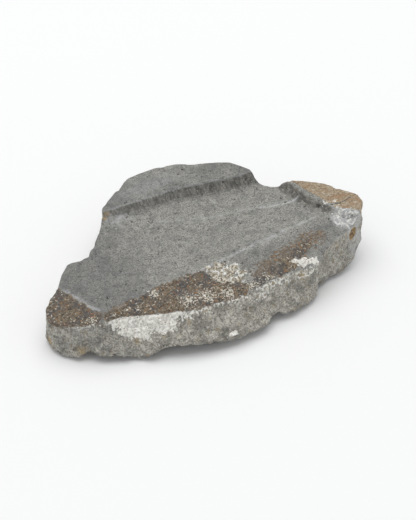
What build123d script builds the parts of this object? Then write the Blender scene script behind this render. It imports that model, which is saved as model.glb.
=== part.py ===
from build123d import *
import os

# A broken, leaf shaped slab of basalt. Its upper side is ground to a smooth, gently twisted floor,
# which leaves a raised lobe at the back and a raised shoulder at the right end. The front is bevelled
# and then broken off. Thin mineral layers lie on the facets. Everything is in millimetres.
# +X runs from the thin tip to the shoulder, +Y from the broken front to the lobe, and +Z up.

LENGTH = 260
DEPTH = 168
HEIGHT = 47

# Levels of the outlines that the broken sides run between
WAIST = 7
SHELF = 33

# The ground floor is a ruled surface: heights over its front and back lines, at the tip and at the end
FLOOR_FRONT_Y = -34
FLOOR_BACK_Y = 40
FLOOR_FRONT_TIP = 31.3
FLOOR_FRONT_END = 42.3
FLOOR_BACK_TIP = 35.4
FLOOR_BACK_END = 36.1

# The front bevel falls from this line at about ten degrees, and climbs towards the shoulder
BEVEL_MIDDLE = (0, -34, 37)
BEVEL_CLIMB = 0.043
BEVEL_FALL = 0.18

# The tip facet falls away from the floor at the thin end
TIP_FACET_POINT = (-104, -13, 33)
TIP_FACET_CLIMB = (0.23, 0.10)

# Tops of the lobe and of the shoulder
LOBE_MIDDLE = 42.6
LOBE_CLIMB = 0.066
RIND = 1.6
RIND_SKIRT = 3
SHOULDER_TOP = HEIGHT - RIND

# Thickness of the other mineral layers
IRON = 0.8
LIME = 1.2
THICK_LIME = 2.4
FILM = 0.6
FILM_LOWEST = 37

# A pocket in the face of the outer end, and the clay that half fills it
POCKET_MIDDLE = (106, -55, 34)
POCKET_RADIUS = 4
POCKET_DEPTH = 4
CLAY_DEPTH = 2.5

# Corners of the slab, walking from the tip along the front, round the end, and back over the lobe.
# Each corner has its place at the foot, at the waist, at the shelf and at the crown.
CORNERS = [
    ((-122, -24), (-130, -25), (-127, -28), (-126, -29)),
    ((-114, -34), (-119, -36), (-112, -39), (-112, -40)),
    ((-94, -46), (-97, -48), (-98, -44), (-98, -42)),
    ((-78, -57), (-80, -61), (-73, -51), (-70, -47)),
    ((-60, -62), (-63, -65), (-50, -59), (-44, -56)),
    ((-30, -68), (-32, -77), (-26, -65), (-23, -60)),
    ((10, -70), (9, -84), (4, -68), (2, -62)),
    ((50, -66), (54, -77), (56, -69), (56, -66)),
    ((76, -58), (82, -67), (84, -59), (84, -56)),
    ((96, -48), (108, -58), (106, -54), (106, -52)),
    ((104, -40), (120, -50), (119, -49), (117, -48)),
    ((108, -28), (127, -36), (130, -33), (128, -32)),
    ((98, -6), (112, -8), (115, -5), (114, -5)),
    ((84, 10), (91, 10), (93, 15), (92, 14)),
    ((72, 18), (81, 19), (84, 23), (83, 22)),
    ((62, 30), (70, 30), (74, 34), (73, 34)),
    ((54, 44), (64, 46), (70, 47), (69, 46)),
    ((44, 54), (54, 58), (58, 60), (56, 58)),
    ((22, 66), (28, 74), (29, 77), (28, 75)),
    ((-4, 70), (-4, 80), (-2, 84), (-2, 81)),
    ((-20, 64), (-24, 75), (-24, 78), (-23, 75)),
    ((-38, 52), (-46, 60), (-46, 62), (-44, 59)),
    ((-50, 38), (-57, 43), (-56, 44), (-54, 42)),
    ((-62, 24), (-69, 28), (-68, 30), (-66, 28)),
    ((-78, 12), (-84, 15), (-82, 16), (-81, 14)),
    ((-88, 10), (-94, 16), (-93, 19), (-91, 17)),
    ((-102, -4), (-110, -2), (-109, 0), (-107, -1)),
    ((-118, -14), (-128, -15), (-127, -14), (-124, -13)),
]

# The underside breaks upwards towards the end
END_BREAK_POINT = (84, -67, 11)
END_BREAK_CLIMB = (0.42, -0.12)

# Foot and crest of the step below the lobe, from the tip side to the nose, and the rest of its outline
LOBE_FOOT = [(-66, 62), (-45, 54), (-27, 51), (-4, 46), (29, 41), (53, 35), (72, 29)]
LOBE_CREST = [(-64, 66), (-45, 60), (-20, 56), (0, 53), (32, 46), (51, 40), (70, 35)]
LOBE_OUTSIDE = [(90, 48), (70, 90), (-60, 90)]

# Foot and crest of the step inside the shoulder, from the back to the front corner
SHOULDER_FOOT = [(86, 20), (92, -5), (98, -22), (104, -33), (112, -44), (118, -56)]
SHOULDER_CREST = [(90, 18), (94, 2), (100, -17), (105, -30), (111, -40), (116, -54)]
SHOULDER_OUTSIDE = [(150, -40), (120, 30)]

# Outlines of the layers on the upper side, seen from above
RIND_BACK_OUTLINE = [(91, 18), (95, 2), (100, -14), (103, -27), (111, -29), (121, -26), (135, -23), (135, 25)]
RIND_END_OUTLINE = [(104, -29), (111, -31), (122, -28), (135, -25), (135, -50), (118, -55), (111, -41), (106, -32)]
IRON_TIP_OUTLINE = [(-111, -3), (-106, -16), (-101, -29), (-98, -37), (-104, -39), (-124, -27), (-123, -14)]
IRON_FRONT_OUTLINE = [
    (-92, -40),
    (-80, -40),
    (-62, -38),
    (-44, -37),
    (-30, -37),
    (-16, -39),
    (-10, -54),
    (-4, -62),
    (-16, -64),
    (-35, -62),
    (-50, -57),
    (-66, -50),
    (-84, -45),
]
IRON_RIGHT_OUTLINE = [
    (13, -59),
    (26, -55),
    (43, -52),
    (54, -46),
    (66, -41),
    (72, -47),
    (66, -54),
    (46, -55),
    (44, -62),
    (27, -64),
]
LIME_RIDGE_OUTLINE = [(-12, -36), (0, -36), (10, -43), (12, -54), (4, -60), (-6, -54), (-11, -42)]
LIME_CORNER_OUTLINE = [(49, -58), (58, -57), (67, -62), (63, -66), (53, -66), (48, -64)]
LIME_FILM_OUTLINE = [(98, -37), (103, -36), (108, -43), (110, -48), (106, -49), (101, -48), (97, -43)]

# Outlines of the layers on the broken front, in X and Z
LIME_FRONT_OUTLINE = [(-92, 24), (-82, 28), (-70, 28), (-56, 27), (-50, 22), (-58, 17), (-72, 15), (-86, 18)]
LIME_CRUMB_OUTLINE = [(-18, 10), (-16, 13), (-12, 13), (-10, 10), (-12, 7), (-16, 7)]

# Ways that the layers' facets face
UPWARDS = Vector(0, 0, 1)
FRONT_FACING = Vector(-0.26, -0.90, 0.35)
END_FACING = Vector(0.30, -0.85, 0.43)


def sloping_plane(point, climb):
    """The plane through a point that climbs by so much per millimetre along X and along Y."""
    return Plane(origin=point, z_dir=(-climb[0], -climb[1], 1))


bevel = sloping_plane(BEVEL_MIDDLE, (BEVEL_CLIMB, BEVEL_FALL))
tip_facet = sloping_plane(TIP_FACET_POINT, TIP_FACET_CLIMB)
lobe_top = sloping_plane((0, 0, LOBE_MIDDLE), (LOBE_CLIMB, 0))
shoulder_top = Plane.XY.offset(SHOULDER_TOP)
end_break = sloping_plane(END_BREAK_POINT, END_BREAK_CLIMB)
pocket_mouth = Plane(origin=POCKET_MIDDLE, z_dir=END_FACING)


def floor_height(front, back, y):
    """Height of the floor at y, on the straight line through its front and back heights."""
    return front + (back - front) * (y - FLOOR_FRONT_Y) / (FLOOR_BACK_Y - FLOOR_FRONT_Y)


def raised_part(foot, crest, outside, top):
    """What the grinding left standing: a steep step from foot to crest, under a ground top plane."""
    with BuildPart() as raised:
        for height, step in ((FLOOR_BACK_END - 2, foot), (HEIGHT + 1, crest)):
            with BuildSketch(Plane.XY.offset(height)):
                with BuildLine():
                    Polyline(*step, *outside, close=True)
                make_face()
        loft(ruled=True)
        split(bisect_by=top, keep=Keep.BOTTOM)
    return raised.part


def mineral_layer(view, outline, facing, thickness):
    """A thin layer that follows the slab's surface.

    It is the slab moved out by the thickness, the way the covered facet faces, less the slab itself,
    and cut to an outline seen along the view plane's normal.
    """
    with BuildPart() as layer:
        with Locations(facing * thickness):
            add(basalt_slab.part)
        with BuildSketch(view):
            with BuildLine():
                Polyline(*outline, close=True)
            make_face()
        extrude(amount=DEPTH, mode=Mode.INTERSECT)
        add(basalt_slab.part, mode=Mode.SUBTRACT)
    return layer


# The rough block that the fracture faces bound
with BuildPart() as rough_block:
    for index, height in enumerate((0, WAIST, SHELF, HEIGHT)):
        with BuildSketch(Plane.XY.offset(height)):
            with BuildLine():
                Polyline(*[corner[index] for corner in CORNERS], close=True)
            make_face()
    loft(ruled=True)

# The slab: all that lies under the floor, the bevel and the tip facet, with the lobe and the shoulder
# left standing, inside the rough block
with BuildPart() as basalt_slab:
    for end, front, back in (
        (-LENGTH / 2, FLOOR_FRONT_TIP, FLOOR_BACK_TIP),
        (LENGTH / 2, FLOOR_FRONT_END, FLOOR_BACK_END),
    ):
        with BuildSketch(Plane.YZ.offset(end)):
            with BuildLine():
                Polyline(
                    (-DEPTH, 0),
                    (DEPTH, 0),
                    (DEPTH, floor_height(front, back, DEPTH)),
                    (-DEPTH, floor_height(front, back, -DEPTH)),
                    close=True,
                )
            make_face()
    loft(ruled=True)
    split(bisect_by=bevel, keep=Keep.BOTTOM)
    split(bisect_by=tip_facet, keep=Keep.BOTTOM)
    add(raised_part(LOBE_FOOT, LOBE_CREST, LOBE_OUTSIDE, lobe_top))
    add(raised_part(SHOULDER_FOOT, SHOULDER_CREST, SHOULDER_OUTSIDE, shoulder_top))
    add(rough_block.part, mode=Mode.INTERSECT)
    split(bisect_by=end_break, keep=Keep.TOP)
    with BuildSketch(pocket_mouth):
        Circle(POCKET_RADIUS)
    extrude(amount=-POCKET_DEPTH, mode=Mode.SUBTRACT)
basalt_slab.part.label = "basalt_slab"

# The ochre rind on the shoulder, in two plates with a crack between them, down to the end of its skirt
rind_view = Plane.XY.offset(SHOULDER_TOP - RIND_SKIRT)
rind_back_plate = mineral_layer(rind_view, RIND_BACK_OUTLINE, UPWARDS, RIND)
rind_back_plate.part.label = "rind_back_plate"
rind_end_plate = mineral_layer(rind_view, RIND_END_OUTLINE, UPWARDS, RIND)
rind_end_plate.part.label = "rind_end_plate"

# Brown iron crust on the tip facet and along the bevel
iron_crust_tip = mineral_layer(Plane.XY, IRON_TIP_OUTLINE, tip_facet.z_dir, IRON)
iron_crust_tip.part.label = "iron_crust_tip"
iron_crust_front = mineral_layer(Plane.XY, IRON_FRONT_OUTLINE, bevel.z_dir, IRON)
iron_crust_front.part.label = "iron_crust_front"
iron_crust_right = mineral_layer(Plane.XY, IRON_RIGHT_OUTLINE, bevel.z_dir, IRON)
iron_crust_right.part.label = "iron_crust_right"

# White lime, on the bevel seen from above and on the broken front seen from the front
lime_crust_ridge = mineral_layer(Plane.XY, LIME_RIDGE_OUTLINE, bevel.z_dir, LIME)
lime_crust_ridge.part.label = "lime_crust_ridge"
lime_crust_corner = mineral_layer(Plane.XY, LIME_CORNER_OUTLINE, bevel.z_dir, THICK_LIME)
lime_crust_corner.part.label = "lime_crust_corner"
film_view = Plane.XY.offset(FILM_LOWEST)
lime_film_end = mineral_layer(film_view, LIME_FILM_OUTLINE, bevel.z_dir, FILM)
lime_film_end.part.label = "lime_film_end"
lime_crust_front = mineral_layer(Plane.XZ, LIME_FRONT_OUTLINE, FRONT_FACING, LIME)
lime_crust_front.part.label = "lime_crust_front"
lime_crumb = mineral_layer(Plane.XZ, LIME_CRUMB_OUTLINE, FRONT_FACING, THICK_LIME)
lime_crumb.part.label = "lime_crumb"

# The clay lies at the bottom of the pocket
with BuildPart() as clay_pocket:
    with BuildSketch(pocket_mouth.offset(-POCKET_DEPTH)):
        Circle(POCKET_RADIUS)
    extrude(amount=CLAY_DEPTH)
clay_pocket.part.label = "clay_pocket"

os.makedirs("parts", exist_ok=True)
export_step(basalt_slab.part, "parts/basalt_slab.step")
export_step(rind_back_plate.part, "parts/rind_back_plate.step")
export_step(rind_end_plate.part, "parts/rind_end_plate.step")
export_step(iron_crust_tip.part, "parts/iron_crust_tip.step")
export_step(iron_crust_front.part, "parts/iron_crust_front.step")
export_step(iron_crust_right.part, "parts/iron_crust_right.step")
export_step(lime_crust_ridge.part, "parts/lime_crust_ridge.step")
export_step(lime_crust_corner.part, "parts/lime_crust_corner.step")
export_step(lime_film_end.part, "parts/lime_film_end.step")
export_step(lime_crust_front.part, "parts/lime_crust_front.step")
export_step(lime_crumb.part, "parts/lime_crumb.step")
export_step(clay_pocket.part, "parts/clay_pocket.step")
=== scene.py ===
# %% [markdown]
# # A broken slab of ground basalt
# The object is one piece of dense grey basalt. Its upper side was rubbed down until it was smooth, which
# left a lobe and a shoulder standing, and its sides are rough breaks. Thin mineral layers lie on it: brown
# iron crust, white lime and an ochre weathering rind. Every cell works in millimetres in the frame of the
# CAD model, and a mesh is turned to metres when it is made.

# %% Load the frame
import bpy
import numpy as np
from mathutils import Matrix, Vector


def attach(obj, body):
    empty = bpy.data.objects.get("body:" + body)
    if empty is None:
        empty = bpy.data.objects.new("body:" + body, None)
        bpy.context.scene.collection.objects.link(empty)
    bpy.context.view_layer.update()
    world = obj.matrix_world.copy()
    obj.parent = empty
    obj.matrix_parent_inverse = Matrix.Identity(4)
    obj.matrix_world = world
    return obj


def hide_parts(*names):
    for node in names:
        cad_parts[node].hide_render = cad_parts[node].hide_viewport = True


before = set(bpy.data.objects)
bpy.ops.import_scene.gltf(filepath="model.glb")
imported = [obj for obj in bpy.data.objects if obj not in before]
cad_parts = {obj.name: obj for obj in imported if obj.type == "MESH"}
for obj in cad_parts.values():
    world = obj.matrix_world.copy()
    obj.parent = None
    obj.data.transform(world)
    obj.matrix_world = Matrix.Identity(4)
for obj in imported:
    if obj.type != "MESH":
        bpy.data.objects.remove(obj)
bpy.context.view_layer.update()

MM = 0.001

# %% [markdown]
# ## Noise for stone
# Broken and weathered stone is irregular at every size, so most of its shape is noise added to a few plain
# surfaces. Blender has noise textures, but a mesh has to carry what shows in its outline, so the noise is
# worked out here for whole arrays of points. Value noise puts a random number on each corner of a cubic
# lattice and blends between them. Adding a few layers, each finer and weaker, gives a rock-like roughness.


# %% Value noise and layered noise
def lattice(corner, seed):
    """A fixed random number from 0 to 1 for each whole-number corner: its coordinates, hashed."""
    x, y, z = (corner[..., axis].astype(np.int64).astype(np.uint32) for axis in range(3))
    mixed = x * np.uint32(374761393) + y * np.uint32(668265263) + z * np.uint32(2246822519)
    mixed = mixed + np.uint32((seed * 3266489917) % 2**32)
    mixed = (mixed ^ (mixed >> np.uint32(13))) * np.uint32(1274126177)
    mixed = (mixed ^ (mixed >> np.uint32(16))) * np.uint32(2654435769)
    return ((mixed ^ (mixed >> np.uint32(15))) & np.uint32(0xFFFFFF)) / float(0xFFFFFF)


def noise(points, size, seed):
    """Value noise from -1 to 1: lattice numbers a given size apart, blended with 3t^2 - 2t^3."""
    place = points / size
    corner = np.floor(place)
    part = place - corner
    part = part * part * (3 - 2 * part)
    total = np.zeros(points.shape[:-1])
    for step in np.ndindex(2, 2, 2):
        weight = np.prod(np.where(np.array(step) == 1, part, 1 - part), axis=-1)
        total += weight * lattice(corner + np.array(step), seed)
    return 2 * total - 1


def layered(points, size, seed, layers=4, gain=0.5):
    """Noise of one size plus noise of about half that size at gain times the strength, and so on."""
    total = np.zeros(points.shape[:-1])
    strength = 1.0
    for layer in range(layers):
        total += strength * noise(points + 17.3 * layer, size, seed + layer)
        size /= 2.07
        strength *= gain
    return total


def smooth_step(value, low, high):
    """0 below low, 1 above high, and 3t^2 - 2t^3 between them. low may be the larger one."""
    part = np.clip((value - low) / (high - low), 0, 1)
    return part * part * (3 - 2 * part)


def soft_min(a, b, width):
    """The lower of two heights, with the corner between them rounded over about the width."""
    blend = np.clip(0.5 + 0.5 * (b - a) / width, 0, 1)
    return b + (a - b) * blend - width * blend * (1 - blend)


def soft_ramp(distance, width):
    """A concave foot: 0 far before a line and the distance itself far after it, rounded over the width."""
    return (distance + np.sqrt(distance * distance + width * width)) / 2


print("noise at three points", noise(np.array([[0.0, 0, 0], [1, 2, 3], [7, 7, 7]]), 5.0, 1).round(2))

# %% [markdown]
# ## The upper side
# The grinding left a floor that is slightly hollow and slightly twisted. It could be sculpted, but each of
# its faces is a simple surface, so a height for every place in plan is clearer: the floor, the bevel and the
# tip facet are cut by taking the lowest of them, and the lobe and the shoulder rise from the floor up a
# concave step to their own tops. The joins are rounded, because stone loses its sharp edges first.


# %% Height of the upper side
def floor_height(x, y):
    """The ruled floor: a front line and a back line of heights, straight across between them, then dished."""
    front = 36.8 + 0.0423 * x
    back = 35.7 + 0.0027 * x
    ruled = front + (back - front) * (y + 34) / 74
    dish = np.exp(-(((x + 10) / 75) ** 2) - ((y - 2) / 28) ** 2)
    return ruled - 1.2 * dish


def bevel_height(x, y):
    """The front bevel falls at about ten degrees from its arris, and is a little hollow at its left."""
    hollow = np.exp(-(((x + 52) / 34) ** 2) - ((y + 46) / 7) ** 2)
    return 37 + 0.043 * x + 0.18 * (y + 34) - 1.1 * hollow


def tip_height(x, y):
    """The facet at the tip falls away towards the thin end, with a hollow under its arris."""
    hollow = np.exp(-(((x + 104) / 9) ** 2) - ((y + 30) / 11) ** 2)
    return 33 + 0.23 * (x + 104) + 0.10 * (y + 13) - 1.0 * hollow


def lobe_foot(x):
    """Where, in Y, the step up to the lobe starts. It turns back a little at the nose."""
    bulge = 2.0 * np.exp(-(((x - 12) / 26) ** 2)) + 3.5 * smooth_step(x, 60, 76)
    return 45.5 - 0.155 * x - 0.0003 * x**2 - 0.000009 * x**3 + bulge


def shoulder_foot(y):
    """Where, in X, the step up to the shoulder starts."""
    return 88.5 - 0.2 * y + 0.0058 * y**2


SHOULDER_TOP = 45.3


def lobe_level(x):
    """Height of the lobe's top, which climbs towards the nose."""
    return 42.8 + 0.062 * x


def upper_height(x, y):
    """Height of the upper side, without its roughness."""
    ground = soft_min(floor_height(x, y), bevel_height(x, y), 1.0)
    ground = soft_min(ground, tip_height(x, y), 1.0)
    lobe_slope = 1.1 + 0.006 * x
    lobe_rise = lobe_slope * soft_ramp(y - lobe_foot(x), 4.5)
    lobe_top = lobe_level(x) - 0.7 * np.exp(-(((x - 5) / 40) ** 2) - ((y - 66) / 12) ** 2)
    lobe = soft_min(ground + lobe_rise, lobe_top, 2.2)
    shoulder_rise = 1.15 * soft_ramp(x - shoulder_foot(y), 2.0)
    shoulder = soft_min(ground + shoulder_rise, SHOULDER_TOP + 0 * x, 1.4)
    return np.maximum(lobe, shoulder)


print("floor", floor_height(0.0, 0.0), "lobe", upper_height(np.array([40.0]), np.array([58.0])))

# %% [markdown]
# ## Outline of the slab
# The rim is the edge of the upper side, and the waist is the lowest edge that can be seen from the side,
# where the break turns under. Both are closed runs of corners, measured and rounded and then paired, so that
# a side face is what lies between them. The back is a guess. Between corners the edge is straight.

# %% Corners of the rim and the waist
# Each row: rim x, rim y, waist x, waist y, waist z
CORNERS = np.array(
    [
        (-129, -20, -129.5, -19, 4.5),
        (-128, -24.5, -129.5, -26, 3.5),
        (-123.5, -29.5, -127, -32.5, 3),
        (-117, -34.5, -122, -37.5, 3),
        (-111, -38, -116, -43, 6.5),
        (-105, -42, -110.5, -46, 7),
        (-98.5, -44, -105, -51, 7),
        (-88.5, -45, -96, -57.5, 6),
        (-80, -47, -88.5, -60, 6),
        (-73.5, -50, -83, -62, 3.5),
        (-66, -53, -78, -64, 4),
        (-59, -56, -71, -70, 7),
        (-53, -58, -62, -71, 9),
        (-47, -60, -55, -74, 11),
        (-41, -62.5, -48, -77, 10.5),
        (-35, -64.5, -40, -81, 9.5),
        (-24, -66, -29, -83, 9),
        (-12, -67, -16.5, -84.5, 8.5),
        (3, -69, 0, -84.5, 8),
        (15, -68, 12, -84.5, 8),
        (26, -67, 18.5, -80.5, 8),
        (34, -67, 28, -77.5, 8),
        (43, -67, 38, -79.5, 7),
        (52, -69, 48, -78, 6),
        (60, -69.5, 58, -75.5, 5),
        (67, -68.5, 65, -71, 5),
        (75, -63, 73, -64, 4),
        (83, -59, 83, -60.5, 4),
        (90, -56, 91, -60.5, 4),
        (98, -54, 99, -59.5, 5),
        (106, -52.5, 107.5, -56, 9),
        (113, -49.5, 115, -52.5, 15),
        (121, -44, 120, -46.5, 20),
        (125, -40, 124.5, -42.5, 26),
        (128, -36, 128, -34, 29),
        (129.5, -27, 126, -26.5, 29),
        (123, -17, 120, -16, 27),
        (115.5, -4, 112, -6, 24),
        (105, 6, 101, 3, 20),
        (96, 12, 93, 9, 17),
        (90, 18, 86, 15, 15),
        (82, 23, 78, 20, 12),
        (76, 31, 72, 28, 10),
        (74, 38, 70, 36, 9),
        (69.5, 48, 66, 45, 8),
        (65, 56.5, 62, 53, 7),
        (57, 62, 54, 59, 7),
        (41, 70, 39, 67, 6),
        (28.5, 78.5, 28, 75, 5),
        (12, 83.5, 12, 80, 5),
        (-2, 84.3, -3, 82, 5),
        (-12, 83.7, -13, 80, 5),
        (-22, 78.2, -22, 76, 4),
        (-37.5, 67.5, -37, 65, 4),
        (-45.5, 61.5, -46, 59, 4),
        (-50, 53.5, -51, 52, 3),
        (-56, 44, -58, 43, 3),
        (-68, 30, -70, 29, 3),
        (-78, 21, -81, 19, 3),
        (-85.5, 18.5, -88, 15, 3),
        (-94, 20.3, -96, 16, 3),
        (-103, 12, -106, 9, 3),
        (-111, 1, -113, -2, 3),
        (-119.5, -4.5, -121, -7, 4),
        (-126, -10, -128, -12, 4),
    ]
)
SQUARE = 200
COLUMNS = 4 * (SQUARE - 1)
CENTRE = np.array([-4.0, -6.0])


def round_the_outline():
    """Columns spaced evenly along the rim: straight between corners, then averaged with neighbours."""
    closed = np.vstack([CORNERS, CORNERS[:1]])
    runs = np.hypot(*np.diff(closed[:, :2], axis=0).T)
    reach = np.concatenate([[0], np.cumsum(runs)])
    places = np.linspace(0, reach[-1], COLUMNS, endpoint=False)
    edge = np.stack([np.interp(places, reach, closed[:, k]) for k in range(5)], axis=1)
    for _ in range(2):
        edge = 0.5 * edge + 0.25 * (np.roll(edge, 1, axis=0) + np.roll(edge, -1, axis=0))
    return edge


edge = round_the_outline()
print("rim length", round(float(np.hypot(*(edge[:, :2] - np.roll(edge[:, :2], 1, axis=0)).T).sum())), "mm")

# %% [markdown]
# ## The whole surface as one function
# The skin needs the same surface twice: once for the stone and again under each mineral layer that grew on
# it. So it is one function of two parameters. The first, the column, runs round the outline. The second
# runs from the middle of the upper side, 0, out to the rim, 1, down the break to the waist, 2, under to the
# foot, 3, and in to the middle of the underside, 4. Below the waist the surface goes inwards first and then
# down, so the front overhangs and casts a shadow on the table.

# %% The plain surface
TURN_UNDER = 26
ARRIS = 0.8


def under_height(x, y):
    """The underside: flat at nought, and a break that climbs to the shoulder end."""
    climb = 2.0 + 0.75 * (x - 104) - 0.05 * (y + 50)
    return soft_ramp(climb, 4.0)


def along_edge(column):
    """Rim x and y, and waist x, y and z, at a column that may lie between two whole ones."""
    low = np.floor(column).astype(int)
    part = (column - low)[..., None]
    return edge[low % COLUMNS] * (1 - part) + edge[(low + 1) % COLUMNS] * part


def plain_surface(column, way):
    """Points of the stone without roughness: straight lines out, down, under and in, with a rounded rim."""
    here = along_edge(column)
    rim, waist = here[..., :2], here[..., 2:]
    out = np.clip(way, 0, 1)[..., None]
    flat = CENTRE + out * (rim - CENTRE)
    to_rim = (1 - out[..., 0]) * np.linalg.norm(rim - CENTRE, axis=-1)
    height = upper_height(flat[..., 0], flat[..., 1]) - ARRIS * np.exp(-to_rim / ARRIS)
    points = np.concatenate([flat, height[..., None]], axis=-1)
    down = np.clip(way - 1, 0, 1)[..., None]
    points = points + down * (waist - points)
    inward = CENTRE - waist[..., :2]
    inward /= np.linalg.norm(inward, axis=-1)[..., None]
    foot = waist[..., :2] + TURN_UNDER * inward
    turn = np.clip(way - 2, 0, 1) * np.pi / 2
    in_middle = np.clip(way - 3, 0, 1)[..., None]
    under_xy = waist[..., :2] + (foot - waist[..., :2]) * np.sin(turn)[..., None]
    under_xy = under_xy + in_middle * (CENTRE - under_xy)
    under_z = under_height(under_xy[..., 0], under_xy[..., 1])
    under_z = waist[..., 2] + (under_z - waist[..., 2]) * (1 - np.cos(turn))
    under = np.concatenate([under_xy, under_z[..., None]], axis=-1)
    return np.where((way > 2)[..., None], under, points)


def facing(column, way):
    """Outward normals: the cross product of a small step outwards and a small step round."""
    step = np.where(way < 1.02, 0.006, np.where(way < 3, 0.02, 0.05))
    outwards = plain_surface(column, way + step) - plain_surface(column, np.maximum(way - step, 0))
    around = plain_surface(column + 1, way) - plain_surface(column - 1, way)
    normal = np.cross(outwards, around)
    size = np.linalg.norm(normal, axis=-1)[..., None]
    up = np.where(way > 3.5, -1.0, 1.0)[..., None] * np.array([0.0, 0, 1])
    return np.where(size < 1e-9, up, normal / np.maximum(size, 1e-9))


print("a point on the front break", plain_surface(np.array([200.0]), np.array([1.5])).round(1))

# %% [markdown]
# ## Where the stone is smooth and where it is rough
# A ground face keeps only shallow waves and the gas pits that grinding opened. A break is rough down to the
# size of the grains. The steps under the lobe and the shoulder were never rubbed, so they are rough too.
# Each of these areas is a mask from 0 to 1, worked out from the same heights that made the shape, and the
# material reads the same masks, so relief and colour agree.


# %% Masks
def outline_depth(points, corners):
    """How far inside a closed outline each point is, in mm, seen in two axes. Outside it is negative."""
    start = np.array(corners, dtype=float)
    end = np.roll(start, -1, axis=0)
    nearest = np.full(points.shape[:-1], np.inf)
    inside = np.zeros(points.shape[:-1], dtype=bool)
    for (ax, ay), (bx, by) in zip(start, end):
        px, py = points[..., 0] - ax, points[..., 1] - ay
        dx, dy = bx - ax, by - ay
        part = np.clip((px * dx + py * dy) / (dx * dx + dy * dy), 0, 1)
        nearest = np.minimum(nearest, np.hypot(px - part * dx, py - part * dy))
        crosses = (ay > points[..., 1]) != (by > points[..., 1])
        rise = by - ay if by != ay else 1e-9
        inside ^= crosses & (px < dx * py / rise)
    return np.where(inside, nearest, -nearest)


def near_line(points, corners, width):
    """1 on a run of points in plan and less beside it, falling off like a bell over the width."""
    nearest = np.full(points.shape[:-1], np.inf)
    for (ax, ay), (bx, by) in zip(corners[:-1], corners[1:]):
        px, py = points[..., 0] - ax, points[..., 1] - ay
        dx, dy = bx - ax, by - ay
        part = np.clip((px * dx + py * dy) / (dx * dx + dy * dy), 0, 1)
        nearest = np.minimum(nearest, np.hypot(px - part * dx, py - part * dy))
    return np.exp(-((nearest / width) ** 2))


def masks(points, way):
    """The areas of the surface: broken, step, bevel, tip and lobe."""
    x, y = points[..., 0], points[..., 1]
    upper = smooth_step(way, 1.03, 0.995)
    floor, bevel, tip = floor_height(x, y), bevel_height(x, y), tip_height(x, y)
    ground = np.minimum(np.minimum(floor, bevel), tip)
    rise = upper_height(x, y) - ground
    behind = smooth_step(y - lobe_foot(x), -1.5, 1.0)
    beyond = smooth_step(x - shoulder_foot(y), -2.5, 0.5)
    on_lobe = smooth_step(rise / np.maximum(lobe_level(x) - ground, 1), 0.80, 0.97) * behind
    on_shoulder = smooth_step(rise / np.maximum(SHOULDER_TOP - ground, 1), 0.75, 0.95) * beyond
    return {
        "broken": 1 - upper,
        "lobe": on_lobe * upper,
        "lobe_step": np.clip(behind - on_lobe, 0, 1) * upper,
        "lobe_apron": smooth_step(y - lobe_foot(x), -9, 1) * (1 - on_lobe) * upper,
        "shoulder": on_shoulder * upper,
        "shoulder_step": np.clip(beyond - on_shoulder, 0, 1) * upper,
        "bevel": smooth_step(np.minimum(floor, tip) - bevel, 0, 1.2) * upper,
        "tip": smooth_step(np.minimum(floor, bevel) - tip, 0, 1.0) * upper,
    }


# %% [markdown]
# ## Relief
# Relief pushes each point along its own normal, so it works the same on the top, the sides and the
# underside. The break has waves of 15 mm, lumps of 5 mm and grains of 1 to 2 mm. Chips are bitten out of
# the rim. The larger gas pits are small round dents, spread at random with a fixed seed.

# %% Gas pits
rng = np.random.default_rng(7)
PITS = 170
pit_x = rng.uniform(-105, 108, PITS)
pit_y = rng.uniform(-55, 78, PITS)
pit_radius = rng.uniform(0.7, 1.35, PITS)


def pits(points):
    """Depth of the gas pits: a bowl of its own radius at each pit, seen in plan."""
    depth = np.zeros(points.shape[:-1])
    for x, y, radius in zip(pit_x, pit_y, pit_radius):
        close = (np.abs(points[..., 0] - x) < 3 * radius) & (np.abs(points[..., 1] - y) < 3 * radius)
        apart = np.hypot(points[close][:, 0] - x, points[close][:, 1] - y)
        depth[close] = np.maximum(depth[close], radius * np.exp(-((apart / radius) ** 2)))
    return depth


# %% Relief of the stone
# Dents in the stone: x, y, z, radius and depth. The first is the clay's pocket.
DENTS = [
    (110.5, -53.5, 31, 5.0, 3.0),
    (-110, -40, 1, 3.0, 2.5),
    (-87, -58, 1, 3.0, 2.5),
    (-70, -68, 1, 3.0, 2.5),
    (-61, -67, 9, 3.5, 3.0),
    (-79, -64, 2, 7.0, -1.8),
    (-36, -66, 32, 2.5, 1.5),
    (34, -68, 33, 3.0, 1.5),
    (-25, 77, 40, 2.5, 1.6),
    (-112, -22, 31, 4.0, 0.8),
    (-93, -29, 32, 5.0, 0.6),
]


def lumps(points):
    """The lumps of a break, 5 mm and 2 mm across, in mm above or below its plain surface."""
    return 0.95 * layered(points, 5.2, 21, layers=2) + 0.34 * noise(points, 2.0, 31)


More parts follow.
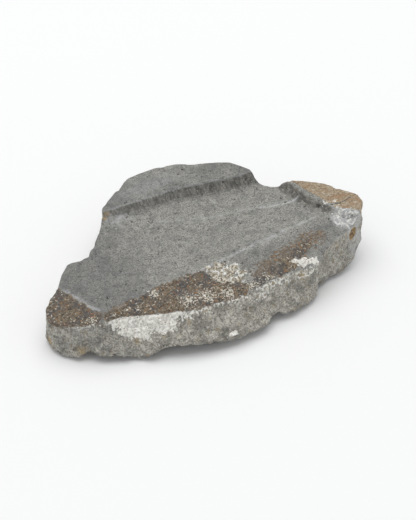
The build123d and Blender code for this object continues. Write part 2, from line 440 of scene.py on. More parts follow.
def relief(points, way):
    """How far the surface stands out from the plain one, in mm."""
    area = masks(points, way)
    rough = np.clip(area["broken"] + area["shoulder_step"] + 0.6 * area["lobe_step"], 0, 1)
    left_bevel = area["bevel"] * smooth_step(points[..., 0], 10, -20)
    rough = np.clip(rough + 0.45 * area["tip"] + 0.35 * left_bevel, 0, 1)
    to_rim = np.abs(way - 1) * np.where(way < 1, 75, 32)
    waves = 1.2 * layered(points, 15.0, 11, layers=2) + lumps(points)
    grains = 0.20 * noise(points, 2.0, 34) + 0.16 * noise(points, 1.1, 32)
    low = smooth_step(way, 1.55, 2.0) * smooth_step(way, 3.2, 2.6)
    crumbs = 1.6 * layered(points, 8.0, 41, layers=2) * low
    body = smooth_step(way, 1.0, 1.12)
    smooth = 0.25 * layered(points, 24.0, 51, layers=2) + 0.04 * noise(points, 4.0, 53)
    chips = np.maximum(noise(points, 6.0, 61) - 0.15, 0) * 2.2 * np.exp(-to_rim / 1.8)
    bumpy = rough * grains + (waves + crumbs) * body * area["broken"]
    bumpy = bumpy + rough * (1 - area["broken"]) * 0.5 * layered(points, 4.2, 22, layers=3)
    hollow = np.zeros(way.shape)
    for x, y, z, radius, depth in DENTS:
        apart = np.linalg.norm(points - np.array([x, y, z]), axis=-1)
        hollow += depth * np.exp(-((apart / radius) ** 2))
    smooth = (smooth - pits(points)) * (1 - area["broken"])
    return bumpy + smooth - chips - hollow


def surface(column, way, outward=0.0):
    """The finished surface of the stone, or one that stands outward from it by so many mm."""
    points = plain_surface(column, way)
    normal = facing(column, way)
    moved = points + normal * (relief(points, way) + outward)[..., None]
    moved[..., 2] = np.maximum(moved[..., 2], 0.0)
    return moved


# %% [markdown]
# ## One closed skin for the stone
# A disc has no natural grid. Rings round a centre pinch there, so the upper side uses a square grid whose
# outline is bent to the rim: each square ring becomes a smaller copy of the rim. Its outermost ring has one
# point for each column of the sides, so the top and the sides share their edge. The underside is
# out of sight, so plain rings that close on a centre point are enough there.

# %% Rows and columns of the skin
SIDE_ROWS = 35
TURN_ROWS = 9
RINGS = 20


def square_rings():
    """For each point of the square grid: its column along the edge, and how far out it is, 0 to 1."""
    side = SQUARE - 1
    row, col = np.mgrid[0:SQUARE, 0:SQUARE]
    a = 2 * col / side - 1
    b = 2 * row / side - 1
    out = np.maximum(np.abs(a), np.abs(b))
    a, b = a / np.maximum(out, 1e-9), b / np.maximum(out, 1e-9)
    tiny = 1e-9
    along = np.where(b <= tiny - 1, (a + 1) / 2, 0)
    along = np.where((a >= 1 - tiny) & (b > tiny - 1), 1 + (b + 1) / 2, along)
    along = np.where((b >= 1 - tiny) & (a < 1 - tiny), 2 + (1 - a) / 2, along)
    along = np.where((a <= tiny - 1) & (b < 1 - tiny) & (b > tiny - 1), 3 + (1 - b) / 2, along)
    return (along * side) % COLUMNS, out


square_column, square_way = square_rings()
down_ways = np.concatenate(
    [
        1 + np.arange(1, SIDE_ROWS + 1) / SIDE_ROWS,
        2 + np.arange(1, TURN_ROWS + 1) / TURN_ROWS,
        3 + np.arange(1, RINGS) / RINGS,
    ]
)
down_way, down_column = np.meshgrid(down_ways, np.arange(COLUMNS, dtype=float), indexing="ij")
skin_column = np.concatenate([square_column.ravel(), down_column.ravel(), [0.0]])
skin_way = np.concatenate([square_way.ravel(), down_way.ravel(), [4.0]])
skin = surface(skin_column, skin_way)
print("skin", len(skin), "points", skin.min(axis=0).round(1), skin.max(axis=0).round(1))


# %% Faces of the skin
def border():
    """Point numbers of the square grid's outermost ring, in column order."""
    last = SQUARE - 1
    k = np.arange(last)
    return np.concatenate([k, k * SQUARE + last, last * SQUARE + last - k, (last - k) * SQUARE])


def band(first, second):
    """Quads between two closed runs of point numbers, the second one further along the way."""
    return np.stack([first, second, np.roll(second, -1), np.roll(first, -1)], axis=1)


def grid_quads(numbers):
    """Quads of a rectangular grid of point numbers."""
    corners = [numbers[:-1, :-1], numbers[:-1, 1:], numbers[1:, 1:], numbers[1:, :-1]]
    return np.stack(corners, axis=-1).reshape(-1, 4)


bands = [border()]
for row in range(len(down_ways)):
    bands.append(SQUARE * SQUARE + row * COLUMNS + np.arange(COLUMNS))
skin_quads = [grid_quads(np.arange(SQUARE * SQUARE).reshape(SQUARE, SQUARE))]
skin_quads += [band(first, second) for first, second in zip(bands[:-1], bands[1:])]
skin_quads = np.vstack(skin_quads)
skin_fan = np.stack([bands[-1], np.full(COLUMNS, len(skin) - 1), np.roll(bands[-1], -1)], axis=1)
print("faces", len(skin_quads), "quads and", len(skin_fan), "triangles")


# %% Make a mesh
def make_piece(name, points, quad_faces, fan=None, fields=None):
    """A smooth-shaded object from points in mm. fields are numbers for each point, for its material."""
    loops = quad_faces.reshape(-1)
    starts = np.arange(len(quad_faces)) * 4
    if fan is not None:
        starts = np.concatenate([starts, len(loops) + np.arange(len(fan)) * 3])
        loops = np.concatenate([loops, fan.reshape(-1)])
    mesh = bpy.data.meshes.new(name)
    mesh.vertices.add(len(points))
    mesh.vertices.foreach_set("co", (points * MM).astype(np.float32).ravel())
    mesh.loops.add(len(loops))
    mesh.loops.foreach_set("vertex_index", loops.astype(np.int32))
    mesh.polygons.add(len(starts))
    mesh.polygons.foreach_set("loop_start", starts.astype(np.int32))
    mesh.polygons.foreach_set("use_smooth", np.ones(len(starts), dtype=bool))
    mesh.update(calc_edges=True)
    for field, values in (fields or {}).items():
        stored = mesh.attributes.new(field, "FLOAT", "POINT")
        stored.data.foreach_set("value", np.asarray(values, dtype=np.float32).ravel())
    piece = bpy.data.objects.new(name, mesh)
    bpy.context.scene.collection.objects.link(piece)
    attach(piece, "root")
    return piece


# %% [markdown]
# ## Where the colours lie
# A material cannot know what a bevel is, so the script stores a few numbers with each point: how ground it
# is, how much iron, lime and pale rubbing it carries, and where shade and highlights are painted into its
# colour. Stains end in ragged edges, so each area is an outline whose depth is disturbed by noise before it
# is turned into a mask.

# %% Outlines of the layers
# Seen from above, in X and Y
IRON_TIP = [
    (-111, 1), (-105, -14), (-100, -28), (-95, -38), (-100, -46), (-112, -44), (-132, -30),
    (-132, -8),
]
IRON_FRONT = [
    (-94, -38), (-72, -37), (-44, -35), (-16, -36), (-8, -44), (8, -62), (6, -71), (-35, -70),
    (-96, -46),
]
IRON_RIGHT = [
    (8, -62), (24, -58), (42, -55), (54, -52), (64, -47), (72, -48), (70, -54), (58, -59),
    (50, -66), (30, -69), (8, -70),
]
IRON_HAZE = [
    (14, -52), (40, -49), (56, -44), (70, -41), (86, -43), (84, -52), (66, -60), (52, -68),
    (20, -70),
]
LIME_RIDGE = [(-12, -35), (0, -34), (11, -42), (16, -55), (5, -60), (-7, -53), (-12, -43)]
LIME_CORNER = [(49, -59), (54, -58.5), (66, -65), (66, -68.5), (58, -68), (51, -64.5)]
LIME_FILM = [(98, -36), (104, -33), (113, -38), (122, -48), (116, -56), (104, -52), (97, -44)]
RIND_BACK = [
    (94, 22), (96, 4), (100, -10), (104, -26), (111, -30), (122, -27.8), (136, -24), (136, 22),
]
RIND_END = [
    (105, -29), (111, -30.6), (122, -28.4), (136, -26), (136, -46), (121, -48), (112, -38),
    (105, -33),
]
CRACK = [(104, -28), (111, -30.3), (122, -28.1), (130, -26)]
# Spots: x, y, z and radius
CHIPS = [
    (-78, -43, 32, 2.0),
    (-70.5, -45.5, 31, 2.0),
    (-54, -39, 33.5, 5.0),
    (-35, -56, 32, 8.0),
    (-22, -59, 32, 8.0),
    (-8, -63, 32, 7.0),
    (12, -66, 32, 6.0),
    (26, -66, 32, 5.0),
    (-104, -40, 30, 4.0),
    (-88, -43, 31, 2.0),
    (102, -24, 45, 2.5),
    (109, -26, 45, 3.0),
    (108, -33, 45, 3.0),
]
OCHRE_SPOTS = [
    (-45, 54.5, 38.7, 2.2),
    (-48, 52, 37, 1.6),
    (-113, -40, 8, 4.0),
    (-129, -19, 7, 3.0),
    (-78, -58, 16, 3.0),
    (51, -71, 29, 2.6),
    (96, -62, 24, 2.5),
    (118, -49, 30, 2.0),
    (58, -79, 12, 2.5),
]
DARK_SPOTS = [
    (61.5, 38, 46, 1.4), (66.7, 35, 42.5, 1.6), (-61, -66, 8.7, 3.0), (97, -12, 41, 2.6),
    (98, -22, 42, 2.2),
]
PALE_PATCH = [(-50, 52), (-40, 54), (-31, 50), (-30, 43), (-40, 42), (-52, 46)]
# Runs seen from above: pale lines along the arrises, partly worn pale and partly painted highlight, and
# streaks
BEVEL_ARRIS = [(-92, -39), (-60, -38), (-30, -37), (0, -35), (30, -33), (60, -31), (88, -30)]
TIP_ARRIS = [(-109, 0), (-104, -13), (-99, -27), (-94, -37)]
FLOOR_STREAK = [(60, 4.5), (69, 0.5), (80, -2.5), (90, -3)]
LOBE_LINE = [(-16, 30), (8, 20), (26, 13), (42, 10), (58, 6), (74, 3), (90, -5)]
# Seen from the front, in X and Z
LIME_FRONT = [
    (-93, 29), (-84, 31.5), (-66, 32.5), (-46, 31), (-42, 27), (-50, 24), (-54, 19), (-61, 18),
    (-65, 21), (-71, 16.5), (-82, 17), (-88, 20), (-92, 25),
]
LIME_RIGHT = [(8, 20), (30, 24), (60, 24), (66, 30), (60, 34), (10, 34)]
LIME_TAIL = [(-60, 22), (-46, 23), (-30, 27), (-8, 29), (14, 30), (14, 33), (-60, 33)]


def ragged(points, corners, size, amount, seed, axes=(0, 1)):
    """Depth inside an outline, with its edge made ragged by noise of a size and an amount in mm."""
    fraying = amount * layered(points, size, seed, layers=3)
    return outline_depth(points[..., list(axes)], corners) + fraying


def near_spots(points, spots):
    """1 at the middle of each spot, falling off like a bell over its radius."""
    total = np.zeros(points.shape[:-1])
    for x, y, z, radius in spots:
        apart = np.linalg.norm(points - np.array([x, y, z]), axis=-1)
        total = np.maximum(total, np.exp(-((apart / radius) ** 2)))
    return total


def stains(points, way):
    """The numbers that the basalt's material reads: its stains and pale rubbing, its tone, and painted shade
    and highlights.
    """
    area = masks(points, way)
    x, y, z = points[..., 0], points[..., 1], points[..., 2]
    upper = 1 - area["broken"]
    front = area["broken"] * smooth_step(y, -20, -40)
    patchy = smooth_step(layered(points, 3.0, 78, layers=2), -0.5, 0.3)
    iron = smooth_step(ragged(points, IRON_TIP, 4.0, 1.2, 71), -1.0, 1.2)
    iron = np.maximum(iron, smooth_step(ragged(points, IRON_FRONT, 5.0, 1.8, 72), -1.5, 1.5))
    iron = np.maximum(iron, 0.65 * smooth_step(ragged(points, IRON_HAZE, 6.0, 4.0, 73), -5.0, 4.0))
    iron = iron * smooth_step(way + 0.03 * noise(points, 4.0, 66), 1.09, 1.03)
    lime = smooth_step(ragged(points, LIME_FRONT, 4.0, 3.0, 74, axes=(0, 2)), -2.5, 3.5) * front
    tail = smooth_step(ragged(points, LIME_TAIL, 5.0, 3.5, 79, axes=(0, 2)), -2.0, 3.0) * front
    lime = np.maximum(lime, 0.62 * tail)
    lime = np.maximum(lime, 0.6 * smooth_step(ragged(points, LIME_RIDGE, 4.0, 3.0, 75), -2.0, 3.0) * upper)
    lime = np.maximum(lime, smooth_step(ragged(points, LIME_CORNER, 4.0, 2.5, 76), -2.0, 2.5))
    film = smooth_step(ragged(points, LIME_FILM, 5.0, 3.0, 77), -4.0, 3.0)
    lime = np.maximum(lime, 0.2 * film)
    right = smooth_step(ragged(points, LIME_RIGHT, 5.0, 4.0, 68, axes=(0, 2)), -2, 4) * front
    lime = np.maximum(lime, 0.45 * right)
    lime = np.maximum(lime, 0.56 * near_spots(points, CHIPS))
    under_edge = np.exp(-(((way - 1.07) * 14) ** 2)) * smooth_step(y, -20, -40)
    lime = np.maximum(lime, (0.3 + 0.3 * patchy) * under_edge * smooth_step(x, 85, 55))
    # Pale lines along the bevel and tip arrises: partly worn pale, partly a painted highlight where the edge
    # catches light.
    along_arris = 0.4 + 0.6 * smooth_step(x, -25, 5) - 0.35 * smooth_step(x, 45, 60)
    on_arris = near_line(points, BEVEL_ARRIS, 1.2) * along_arris
    pale_wear_and_highlight = np.maximum(on_arris, 0.8 * near_line(points, TIP_ARRIS, 1.4))
    pale_wear_and_highlight = np.maximum(pale_wear_and_highlight, 0.8 * near_line(points, BEVEL_ARRIS[4:6], 2.6))
    pale_wear_and_highlight = np.maximum(pale_wear_and_highlight, 0.45 * near_line(points, LOBE_LINE, 1.4)) * upper
    # A painted highlight along the front rim of the upper side, broken into patches.
    rim = np.exp(-(((way - 1.01) * 55) ** 2)) * smooth_step(y, -20, -40)
    pale_wear_and_highlight = np.maximum(pale_wear_and_highlight * (0.2 + 0.8 * patchy), 0.8 * rim * patchy**2)
    pale_wear_and_highlight = np.maximum(pale_wear_and_highlight, 0.9 * film)
    patch = smooth_step(ragged(points, PALE_PATCH, 4.0, 3.5, 70), -3.0, 4.0)
    pale_wear_and_highlight = np.maximum(pale_wear_and_highlight, 0.7 * patch * (0.4 + 0.6 * patchy) * upper)
    # A painted highlight along the lobe's crest.
    crest_highlight = 4 * area["lobe"] * (1 - area["lobe"])
    pale_wear_and_highlight = np.maximum(pale_wear_and_highlight, 0.5 * crest_highlight)
    pale_wear_and_highlight = np.maximum(pale_wear_and_highlight, 1.2 * near_line(points, FLOOR_STREAK, 0.9) * upper)
    far_left = smooth_step(x, -15, -90) * (1 - area["tip"]) * (1 - area["bevel"])
    grey_bevel = area["bevel"] * smooth_step(x, 5, 30)
    on_lobe = (0.55 + 0.35 * smooth_step(x, 40, -25)) * area["lobe"]
    shade = on_lobe * upper + 1.15 * far_left * upper + 0.6 * grey_bevel * upper
    shade = shade + 0.4 * front * smooth_step(x, -55, -100)
    shade = shade + (0.35 + 0.35 * area["lobe"]) * layered(points, 14.0, 69, layers=3) * upper
    dark = np.maximum(near_line(points, CRACK, 0.7) * upper, near_spots(points, DARK_SPOTS))
    dark = np.maximum(dark, 0.55 * smooth_step(pits(points), 0.3, 0.8) * upper)
    # Painted shade on the underside, below the waist.
    dark = np.maximum(dark, 0.8 * smooth_step(way, 2.0, 2.12))
    return {
        "pale_wear_and_highlight": pale_wear_and_highlight,
        "ground": upper * (1 - 0.5 * area["lobe_step"]) * (1 - area["shoulder_step"]),
        "iron": iron * (1 - 0.7 * lime),
        "lime": lime,
        # Darker rough stone on the steps, with painted shade over the steps and over the concave foot in
        # front of the lobe.
        "step": np.clip(area["lobe_step"] + 0.6 * area["lobe_apron"] + area["shoulder_step"], 0, 1),
        # Painted shade in the hollows of the break's lumps.
        "hollow": area["broken"] * smooth_step(lumps(points), 0.1, -1.2),
        "shade": np.clip(shade, 0, 1),
        "ochre": near_spots(points, OCHRE_SPOTS) * (0.4 + 0.6 * patchy),
        "dark": dark,
    }


stone_fields = stains(skin, skin_way)
stone = make_piece("basalt_stone", skin, skin_quads, skin_fan, stone_fields)
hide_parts("basalt_slab")
print("stone", len(stone.data.polygons), "faces")

# %% [markdown]
# ## Mineral layers
# The layers grew on the stone, so each follows its surface and only adds a thickness. A layer is a closed
# shell: its outer side stands above the stone where the layer is there, and dives below the surface where
# it thins out, so its edge is where two rough surfaces cut each other. That gives the broken, patchy
# border of a real crust with no work on the border itself.


# %% A layer that follows the stone
SPACING = 0.65
UNDER_SKIN = 0.5
SHELL_DEPTH = 1.2
MARGIN = 4.0


def block_of(corners, axes=(0, 1), ways=(0.2, 1.0)):
    """The columns and ways that hold an outline: its points on a coarse grid, and the ends of their run."""
    start = int(np.argmin(np.hypot(*(edge[:, :2] - np.mean(corners, axis=0)).T)))
    if axes == (0, 2):
        start = int(np.argmin(np.abs(edge[:, 0] - np.mean(corners, axis=0)[0]) + (edge[:, 1] > -30) * 999))
    half = COLUMNS // 4
    way, column = np.meshgrid(np.linspace(*ways, 60), np.arange(start - half, start + half), indexing="ij")
    points = plain_surface(column.astype(float), way)
    held = outline_depth(points[..., list(axes)], corners) > -MARGIN
    if axes == (0, 2):
        held &= points[..., 1] < -30
    return (column[held].min(), column[held].max()), (way[held].min(), way[held].max())


def make_layer(name, block, thickness):
    """A closed shell over a block of the surface. thickness gives mm above the stone for points and ways."""
    columns, ways = block
    ends = along_edge(np.array([float(sum(columns) // 2)]))[0]
    inner = (min(ways[1], 1) - min(ways[0], 1)) * np.hypot(*(ends[:2] - CENTRE))
    depth = inner + (max(ways[1], 1) - max(ways[0], 1)) * 38
    way, column = np.meshgrid(
        np.linspace(*ways, max(int(depth / SPACING), 8)),
        np.linspace(*columns, max(int((columns[1] - columns[0]) * 0.9 / SPACING), 8)),
        indexing="ij",
    )
    height = np.clip(thickness(plain_surface(column, way), way), -UNDER_SKIN, None)
    inside = np.zeros(way.shape)
    inside[1:-1, 1:-1] = 1
    height = np.where(inside > 0, height, -UNDER_SKIN)
    over = surface(column, way, height)
    below = surface(column, way, np.full(way.shape, -SHELL_DEPTH))
    numbers = np.arange(way.size).reshape(way.shape)
    run = np.concatenate([numbers[0, :-1], numbers[:-1, -1], numbers[-1, :0:-1], numbers[:0:-1, 0]])
    walls = np.stack([run, run + way.size, np.roll(run, -1) + way.size, np.roll(run, -1)], axis=1)
    faces = np.vstack([grid_quads(numbers), grid_quads(numbers + way.size)[:, ::-1], walls])
    both = np.vstack([over.reshape(-1, 3), below.reshape(-1, 3)])
    carried = stains(plain_surface(column, way), way)
    fields = {kind: np.tile(values.ravel(), 2) for kind, values in carried.items()}
    piece = make_piece(name, both, faces[:, ::-1], fields=fields)
    print(name, len(both), "points, up to", round(float(height.max()), 2), "mm thick")
    return piece


# %% [markdown]
# ## Iron crust
# Brown iron oxide grew on the faces that lay in wet ground. It is a skin of grains half a millimetre thick,
# worn through in places. Its thickness is a plateau inside its outline, minus noise that opens the worn
# places.


# %% Three patches of iron crust
def crust(corners, height, worn, seed, size=4.0, axes=(0, 1), fray=1.5):
    """Thickness of a granular crust: a plateau inside the outline, worn through by noise, with grains."""

    def thickness(points, way):
        depth = ragged(points, corners, size, fray, seed, axes)
        plateau = height * smooth_step(depth, -1.5, 2.0) - 0.3
        wear = worn * np.maximum(layered(points, size, seed + 5, layers=3), 0)
        return plateau - wear + 0.18 * noise(points, 1.5, seed + 9)

    return thickness


iron_pieces = []
for name, corners, height, worn in [
    ("iron_crust_tip", IRON_TIP, 0.75, 0.7),
    ("iron_crust_front", IRON_FRONT, 0.8, 0.8),
    ("iron_crust_right", IRON_RIGHT, 0.7, 1.0),
]:
    piece = make_layer(name + "_grains", block_of(corners), crust(corners, height, worn, 80, 3.0))
    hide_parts(name)
    iron_pieces.append(piece)

# %% [markdown]
# ## Lime crust
# White lime was laid down over the iron by hard water. It is chalky and lumpy, thickest in the corner where
# water stood, and it breaks off in crumbs. Each patch is the same kind of shell with coarser lumps.

# %% Patches of lime
lime_pieces = []
CRUMB = [(-19, 9), (-16, 12), (-12, 11.5), (-11, 8), (-14, 5.5), (-18, 6)]
for name, corners, height, worn, axes, ways in [
    ("lime_crust_front", LIME_FRONT, 0.8, 1.9, (0, 2), (1.02, 1.9)),
    ("lime_crust_ridge", LIME_RIDGE, 0.6, 2.7, (0, 1), (0.2, 1.0)),
    ("lime_crust_corner", LIME_CORNER, 1.2, 2.4, (0, 1), (0.6, 1.35)),
    ("lime_film_end", LIME_FILM, 0.40, 0.8, (0, 1), (0.6, 1.0)),
    ("lime_crumb", CRUMB, 1.6, 0.5, (0, 2), (1.02, 1.95)),
]:
    thickness = crust(corners, height, worn, 90, 1.8, axes, 1.6)
    piece = make_layer(name + "_lumps", block_of(corners, axes, ways), thickness)
    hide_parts(name)
    lime_pieces.append(piece)

# %% [markdown]
# ## Ochre rind and clay
# On the shoulder the rock itself has weathered to an ochre rind half a millimetre thick. It parts along a
# dark crack into two plates, and its layers come off in curved flakes. A gas pocket beside it filled up
# with ochre clay.


# %% Rind plates and clay
def rind(corners, seed):
    """Thickness of the rind: an almost even plate with low flakes whose borders are curved steps."""

    def thickness(points, way):
        depth = ragged(points, corners, 5.0, 0.5, seed)
        flakes = np.round(1.6 * layered(points, 12.0, seed + 3, layers=2)) / 1.6
        plate = 0.6 * smooth_step(depth, -0.6, 0.6) - 0.3 + 0.22 * flakes * smooth_step(depth, 0.2, 1.0)
        return plate + 0.10 * noise(points, 1.6, seed + 9)

    return thickness


rind_pieces = []
for name, corners in [("rind_back_plate", RIND_BACK), ("rind_end_plate", RIND_END)]:
    piece = make_layer(name + "_flakes", block_of(corners, ways=(0.5, 1.12)), rind(corners, 100))
    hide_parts(name)
    rind_pieces.append(piece)


def clay(points, way):
    """Thickness of the clay: a low cap in the middle of its pocket."""
    apart = np.linalg.norm(points - np.array(DENTS[0][:3]), axis=-1)
    return 1.7 * smooth_step(apart, 7.5, 2.0) - 0.55 + 0.2 * noise(points, 1.4, 110)


pocket_x, pocket_y = DENTS[0][:2]
pocket_ring = [(pocket_x + 6 * np.cos(t), pocket_y + 6 * np.sin(t)) for t in np.linspace(0, 5.5, 8)]
clay_piece = make_layer("clay_in_pocket", block_of(pocket_ring, ways=(0.8, 1.4)), clay)
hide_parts("clay_pocket")

# %% [markdown]
# ## Materials
# Every finish is built up the way the real one looks under a lens: a ground colour, then the grains and
# stains that lie in it. Sizes are given in millimetres. The crystals of basalt are taken to be 0.3 to 1 mm.
# They are drawn about 0.9 mm apart, because finer ones would vanish in a texture map of the whole stone.
# The colours were tuned by mean tone, and are not measured values of these minerals.


# %% Colours and nodes
def linear(hex_colour):
    """An sRGB hex colour as linear red, green, blue and alpha."""
    parts = [int(hex_colour[k : k + 2], 16) / 255 for k in (0, 2, 4)]
    return [c / 12.92 if c <= 0.04045 else ((c + 0.055) / 1.055) ** 2.4 for c in parts] + [1.0]


def add(tree, kind, inputs, **settings):
    """Add a node with its settings. Each input is linked if it is given a socket, and set if not."""
    node = tree.nodes.new(kind)
    for name, value in settings.items():
        setattr(node, name, value)
    for name, value in inputs.items():
        if isinstance(value, bpy.types.NodeSocket):
            tree.links.new(value, node.inputs[name])
        else:
            node.inputs[name].default_value = value
    return node


def spots(tree, size, low, high, shift=0.0, stretch=(1.0, 1.0, 1.0)):
    """A factor: noise with features of a size in mm, 0 where it is below low and 1 above high."""
    place = add(tree, "ShaderNodeTexCoord", {}).outputs["Object"]
    move = {"Vector": place, "Location": (shift, shift, shift), "Scale": stretch}
    moved = add(tree, "ShaderNodeMapping", move)
    scale = 1000 / (2 * size)
    pattern = {"Vector": moved.outputs["Vector"], "Scale": scale, "Detail": 2.0, "Roughness": 0.55}
    shape = add(tree, "ShaderNodeTexNoise", pattern).outputs[0]
    limits = {"Value": shape, "From Min": low, "From Max": high}
    return add(tree, "ShaderNodeMapRange", limits).outputs["Result"]


def times(tree, first, second):
    """One factor times another factor or a number."""
    return add(tree, "ShaderNodeMath", {0: first, 1: second}, operation="MULTIPLY").outputs["Value"]


def coat(tree, under, over, factor):
    """The colour under, with the colour over it where the factor is 1. Both may be hex colours."""
    colours = [linear(c) if isinstance(c, str) else c for c in (under, over)]
    inputs = {0: factor, 6: colours[0], 7: colours[1]}
    return add(tree, "ShaderNodeMix", inputs, data_type="RGBA").outputs[2]


def field(tree, name):
    """A number that the mesh carries at each point."""
    return add(tree, "ShaderNodeAttribute", {}, attribute_name=name).outputs["Fac"]


def grains(tree, name, size, shift):
    """A field broken into grains: covered where the field and noise with a size in mm add up to one."""
    both = {0: field(tree, name), 1: spots(tree, size, 0.28, 0.72, shift)}
    total = add(tree, "ShaderNodeMath", both, operation="ADD").outputs["Value"]
    limits = {"Value": total, "From Min": 0.92, "From Max": 1.12}
    return add(tree, "ShaderNodeMapRange", limits).outputs["Result"]


def start(name):
    """A new material's node tree and its shader."""
    material = bpy.data.materials.new(name)
    material.use_nodes = True
    return material, material.node_tree, material.node_tree.nodes["Principled BSDF"]


def finish(tree, shader, colour, roughness, relief, depth):
    """Connect the colour, set the roughness and add fine relief of so many mm."""
    tree.links.new(colour, shader.inputs["Base Color"])
    shader.inputs["Roughness"].default_value = roughness
    shader.inputs["IOR"].default_value = 1.5
    bump = {"Height": relief, "Distance": depth * MM, "Strength": 1.0}
    tree.links.new(add(tree, "ShaderNodeBump", bump).outputs["Normal"], shader.inputs["Normal"])


# %% [markdown]
# ## Basalt
# Dense basalt is dark plagioclase and pyroxene with pale feldspar between, so it looks salt-and-pepper grey.
# Ground, its dust fills the grain and the pits stay dark. Broken, each crystal shows its own side, so the
# break is lighter, warmer and more speckled. Where ground water reached it, iron stains it brown and lime
# covers it white.


# %% Basalt
def gas_pits(tree):
    """A factor: round pits about 1.4 mm across, one in each cell of 5 mm, left out where noise is low."""
    place = add(tree, "ShaderNodeTexCoord", {}).outputs["Object"]
    cells = add(tree, "ShaderNodeTexVoronoi", {"Vector": place, "Scale": 1000 / 5}).outputs["Distance"]
    limits = {"Value": cells, "From Min": 0.16, "From Max": 0.11}
    pit = add(tree, "ShaderNodeMapRange", limits).outputs["Result"]
    return times(tree, pit, spots(tree, 5.0, 0.46, 0.54, 0.15))


def basalt():
    """Ground and broken basalt blended by the mesh's field, then its stains, painted shade and painted
    highlights.
    """
    material, tree, shader = start("salt-and-pepper basalt")
    ground = coat(tree, "585855", "aeada6", spots(tree, 0.45, 0.30, 0.70))
    ground = coat(tree, ground, "3a3a39", times(tree, spots(tree, 0.9, 0.60, 0.68, 0.3), 0.8))
    ground = coat(tree, ground, "2c2c2b", times(tree, gas_pits(tree), 0.8))
    ground = coat(tree, ground, "c9c7bf", times(tree, spots(tree, 0.8, 0.66, 0.74, 0.6), 0.5))
    ground = coat(tree, ground, "5d5d5b", times(tree, spots(tree, 4.0, 0.46, 0.66, 0.1), 0.45))
    ground = coat(tree, ground, "a9a8a2", times(tree, spots(tree, 2.2, 0.52, 0.68, 0.35), 0.35))
    strokes = spots(tree, 3.0, 0.5, 0.7, 0.2, (1.0, 4.0, 4.0))
    ground = coat(tree, ground, "a5a49e", times(tree, strokes, 0.25))
    broken = coat(tree, "6f6d66", "c6c3b9", spots(tree, 0.55, 0.30, 0.70, 0.4))
    broken = coat(tree, broken, "45433f", times(tree, spots(tree, 1.2, 0.60, 0.70, 0.5), 0.7))
    broken = coat(tree, broken, "d8d5ca", times(tree, spots(tree, 0.9, 0.62, 0.70, 0.7), 0.8))
    broken = coat(tree, broken, "98876a", times(tree, spots(tree, 2.2, 0.58, 0.70, 0.8), 0.65))
    broken = coat(tree, broken, "63615b", times(tree, spots(tree, 5.0, 0.46, 0.62, 0.85), 0.5))
    broken = coat(tree, broken, "d5d2c8", times(tree, spots(tree, 1.8, 0.58, 0.68, 0.95), 0.5))
    broken = coat(tree, broken, "53504a", times(tree, spots(tree, 1.8, 0.58, 0.68, 1.05), 0.5))
    # Painted shade: the break is darker in the hollows of its lumps.
    broken = coat(tree, broken, "3b3935", times(tree, field(tree, "hollow"), 0.35))
    colour = coat(tree, broken, ground, field(tree, "ground"))
    colour = coat(tree, colour, "4a4b4e", times(tree, field(tree, "shade"), 0.42))
    streaks = spots(tree, 0.7, 0.36, 0.60, 0.9, (1.0, 0.3, 0.3))
    # The steps: darker, with dark streaks, partly the rough stone itself and partly painted shade, which also
    # covers the concave foot in front of the lobe.
    colour = coat(tree, colour, "434341", times(tree, field(tree, "step"), 0.42))
    colour = coat(tree, colour, "2f2f2e", times(tree, times(tree, field(tree, "step"), streaks), 0.55))
    rust = coat(tree, "4a4239", "857561", spots(tree, 0.8, 0.32, 0.68, 1.1))
    rust = coat(tree, rust, "9a6f42", times(tree, spots(tree, 1.0, 0.60, 0.68, 1.2), 0.8))
    colour = coat(tree, colour, rust, times(tree, grains(tree, "iron", 0.9, 1.3), 0.9))
    colour = coat(tree, colour, "b08f4e", times(tree, field(tree, "ochre"), 0.75))
    white = coat(tree, "b5b4ac", "e6e5df", spots(tree, 1.0, 0.32, 0.60, 1.4))
    colour = coat(tree, colour, white, times(tree, grains(tree, "lime", 0.9, 1.5), 0.95))
    # Pale coat from the field of pale rubbing and painted highlights: worn arrises, streaks and the pale
    # patch, and painted highlights on the arrises, the front rim and the lobe's crest.
    dust = times(tree, field(tree, "pale_wear_and_highlight"), spots(tree, 1.3, 0.28, 0.52, 1.7))
    colour = coat(tree, colour, "bbbdbe", times(tree, dust, 0.7))
    # Dark coat: the crack, dark spots and darker gas pits, and painted shade on the underside.
    colour = coat(tree, colour, "2e2c29", times(tree, grains(tree, "dark", 0.8, 1.8), 0.85))
    softening = {"Value": field(tree, "ground"), "To Min": 1.0, "To Max": 0.28}
    softer = add(tree, "ShaderNodeMapRange", softening)
    relief = times(tree, spots(tree, 0.7, 0.2, 0.8, 1.6), softer.outputs["Result"])
    finish(tree, shader, colour, 0.82, relief, 0.5)
    return material


stone.data.materials.append(basalt())

# %% [markdown]
# ## Iron, lime, rind and clay
# Iron oxide is dark brown where it is thick and orange where it is fresh. Lime is chalk white with grey
# dust in its hollows. The rind is basalt turned to ochre clay minerals, banded by its flakes. All are dry
# and matt.


# %% Iron crust
def iron_crust():
    """Dark brown to grey grains with small orange spots, and pale stone dust on top."""
    material, tree, shader = start("granular iron oxide")
    colour = coat(tree, "332d28", "8c7f6b", spots(tree, 0.7, 0.30, 0.70, 2.1))
    colour = coat(tree, colour, "4b4b4e", times(tree, spots(tree, 5.0, 0.44, 0.60, 2.5), 0.7))
    colour = coat(tree, colour, "99683a", times(tree, spots(tree, 1.0, 0.60, 0.68, 2.2), 0.75))
    colour = coat(tree, colour, "cfcabb", times(tree, spots(tree, 0.8, 0.61, 0.69, 2.3), 0.85))
    colour = coat(tree, colour, "d2cec1", times(tree, grains(tree, "lime", 0.6, 2.6), 0.9))
    finish(tree, shader, colour, 0.85, spots(tree, 0.8, 0.2, 0.8, 2.4), 0.4)
    return material


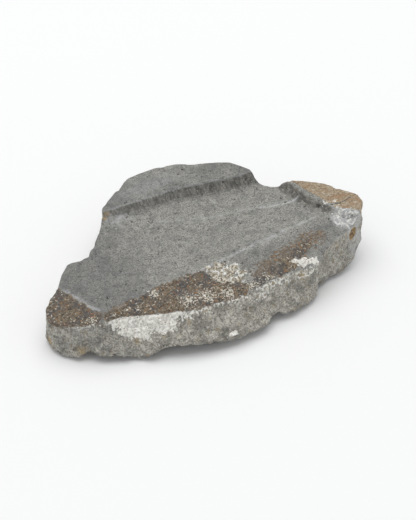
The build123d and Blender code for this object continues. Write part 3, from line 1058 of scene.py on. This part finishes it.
# %% Lime
def lime(name, hollow, grain, gaps):
    """Lime: pale grains, greyer hollows, and gaps where iron or stone shows through."""
    material, tree, shader = start(name)
    colour = coat(tree, hollow, grain, spots(tree, 0.9, 0.32, 0.62, 3.1))
    colour = coat(tree, colour, "6f6557", times(tree, spots(tree, 0.75, 0.66 - gaps, 0.74 - gaps, 3.2), 0.8))
    finish(tree, shader, colour, 0.9, spots(tree, 1.0, 0.2, 0.8, 3.3), 0.4)
    return material


# %% Ochre rind
def ochre_rind():
    """Ochre with orange-brown bands along the flakes and pale grey scuffs."""
    material, tree, shader = start("weathered ochre rind")
    colour = coat(tree, "7d6d58", "b0a18a", spots(tree, 0.8, 0.32, 0.68, 4.1))
    bands = spots(tree, 3.0, 0.50, 0.64, 4.2, (0.5, 1.6, 1.0))
    colour = coat(tree, colour, "8f6640", times(tree, bands, 0.45))
    colour = coat(tree, colour, "bdb7a8", times(tree, spots(tree, 2.2, 0.58, 0.68, 4.3), 0.7))
    colour = coat(tree, colour, "594735", times(tree, spots(tree, 1.0, 0.62, 0.70, 4.4), 0.7))
    colour = coat(tree, colour, "d6d3ca", grains(tree, "lime", 0.9, 4.6))
    finish(tree, shader, colour, 0.85, spots(tree, 1.0, 0.2, 0.8, 4.5), 0.4)
    return material


# %% Ochre clay
def ochre_clay():
    """Dry ochre clay, mottled dark and light."""
    material, tree, shader = start("dry ochre clay")
    colour = coat(tree, "5c4a35", "ac9269", spots(tree, 1.2, 0.34, 0.66, 5.1))
    finish(tree, shader, colour, 0.9, spots(tree, 1.0, 0.2, 0.8, 5.2), 0.4)
    return material


thick_lime = lime("chalky lime", "bebcb3", "f2f0ea", 0.06)
mixed_lime = lime("lime mixed with iron", "8a8272", "d2ccbc", 0.21)
film_lime = lime("thin lime film", "a8a7a3", "d6d6d3", 0.02)
for pieces, material in [
    (iron_pieces, iron_crust()),
    ([lime_pieces[0], lime_pieces[2], lime_pieces[4]], thick_lime),
    ([lime_pieces[1]], mixed_lime),
    ([lime_pieces[3]], film_lime),
    (rind_pieces, ochre_rind()),
    ([clay_piece], ochre_clay()),
]:
    for piece in pieces:
        piece.data.materials.append(material)

# %% [markdown]
# ## Table, light and camera
# The stone lies on a white table in a light tent that is brightest near the horizon, so the light comes from
# everywhere. One broad lamp, above and a little behind, gives the faces their difference.

# %% Table, lamp and camera
table_paint, table_tree, table_shader = start("white table")
table_shader.inputs["Base Color"].default_value = linear("f3f4f4")
table_shader.inputs["Roughness"].default_value = 0.9
bpy.ops.mesh.primitive_plane_add(size=8, location=(0, 0, 0))
table = bpy.context.object
table.name = "table"
table.data.materials.append(table_paint)

world = bpy.data.worlds.new("light tent")
bpy.context.scene.world = world
world.use_nodes = True
world.node_tree.nodes["Background"].inputs["Color"].default_value = (1, 1, 1, 1)
sky = world.node_tree
sky_way = add(sky, "ShaderNodeTexCoord", {}).outputs["Generated"]
sky_height = add(sky, "ShaderNodeSeparateXYZ", {"Vector": sky_way}).outputs["Z"]
fade = {"Value": sky_height, "From Min": 0.0, "From Max": 0.35, "To Min": 1.0, "To Max": 0.60}
sky_strength = add(sky, "ShaderNodeMapRange", fade).outputs["Result"]
sky.links.new(sky_strength, sky.nodes["Background"].inputs["Strength"])

lamp = bpy.data.lights.new("broad lamp", "AREA")
lamp.energy = 66
lamp.size = 3.6
lamp_stand = bpy.data.objects.new("broad lamp", lamp)
lamp_stand.location = (0.15, 0.6, 3.1)
lamp_stand.rotation_euler = (Vector((0, 0, 0)) - lamp_stand.location).to_track_quat("-Z", "Y").to_euler()
bpy.context.scene.collection.objects.link(lamp_stand)

LOOKED_AT = Vector((0.0084, -0.0072, 0.015))
CAMERA_DISTANCE = 0.93
elevation, azimuth = np.radians(40), np.radians(-30)
back = Vector((np.sin(azimuth) * np.cos(elevation), -np.cos(azimuth) * np.cos(elevation), np.sin(elevation)))
lens = bpy.data.cameras.new("camera")
lens.lens = 85
lens.sensor_width = 36
camera = bpy.data.objects.new("camera", lens)
camera.location = LOOKED_AT + back * CAMERA_DISTANCE
camera.rotation_euler = (-back).to_track_quat("-Z", "Y").to_euler()
bpy.context.scene.collection.objects.link(camera)
bpy.context.scene.camera = camera
bpy.context.scene.view_settings.view_transform = "Standard"
